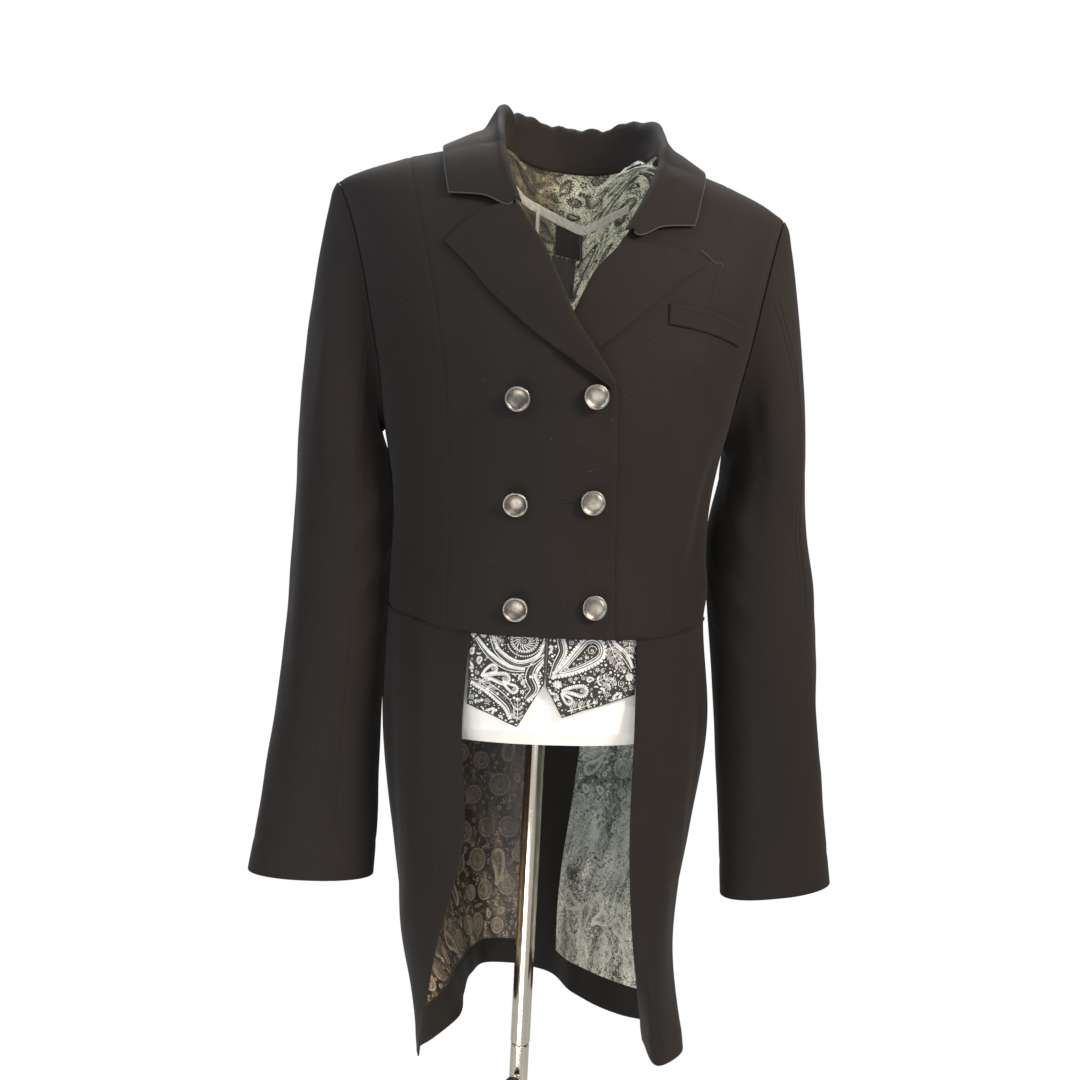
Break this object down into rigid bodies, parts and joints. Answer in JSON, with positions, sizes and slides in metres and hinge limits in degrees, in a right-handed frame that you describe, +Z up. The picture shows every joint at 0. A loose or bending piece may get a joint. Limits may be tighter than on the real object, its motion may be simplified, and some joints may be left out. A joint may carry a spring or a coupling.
{
  "type": "shadbelly riding tailcoat on a limbless dress form with an adjustable pole stand",
  "caption": "Black double-breasted shadbelly tailcoat with paisley lining and vest points, on a white dress form and chrome pole stand.",
  "frame": {"origin": "on the floor, on the pole's axis, in the middle of the base plate's underside", "axes": "+Z up, +X to the coat's own left (the right of a viewer in front), -Y towards the front"},
  "size_m": [0.545, 0.33, 1.4247],
  "materials": {
    "wool": "matte twill wool blend",
    "jacquard": "silvery paisley jacquard lining",
    "vest_brocade": "black and silver paisley brocade",
    "pewter": "antique pewter",
    "ribbon": "satin ribbon",
    "label_black": "woven label, bare",
    "label_grey": "printed ribbon, bare",
    "form_white": "satin white",
    "chrome": "polished",
    "base_steel": "satin"
  },
  "bodies": {
    "stand_base": {"base_plate": "base_steel", "pole_lower": "chrome", "clamp_boss": "chrome"},
    "clamp": {"clamp_knob": "chrome"},
    "coat_on_form": {"front_centre_right": "wool", "front_centre_left": "wool", "front_side_right": "wool", "front_side_left": "wool", "back_right": "wool", "back_left": "wool", "tail_right": "wool", "tail_left": "wool", "hem_facing_right": "wool", "hem_facing_left": "wool", "vent_facing_left": "wool", "lapel_right": "wool", "lapel_left": "wool", "collar": "wool", "top_sleeve_right": "wool", "top_sleeve_left": "wool", "under_sleeve_right": "wool", "under_sleeve_left": "wool", "pocket_welt": "wool", "neck_lining": "jacquard", "tail_lining_right": "jacquard", "tail_lining_left": "jacquard", "vest_point_right": "vest_brocade", "vest_point_left": "vest_brocade", "button_1_right": "pewter", "button_1_left": "pewter", "button_2_right": "pewter", "button_2_left": "pewter", "button_3_right": "pewter", "button_3_left": "pewter", "hanger_ribbon": "ribbon", "main_label": "label_black", "care_label": "label_grey", "form_body": "form_white", "form_flange": "chrome", "pole_upper": "chrome"}
  },
  "joints": [
    {"name": "stand_height", "type": "slide", "parent": "stand_base", "child": "coat_on_form", "axis": [0, 0, 1], "range_m": [0, 0.25]},
    {"name": "clamp_turn", "type": "hinge", "parent": "stand_base", "child": "clamp", "pos_m": [0, 0, 0.4985], "axis": [-0.3401, -0.9404, 0], "continuous": true}
  ]
}
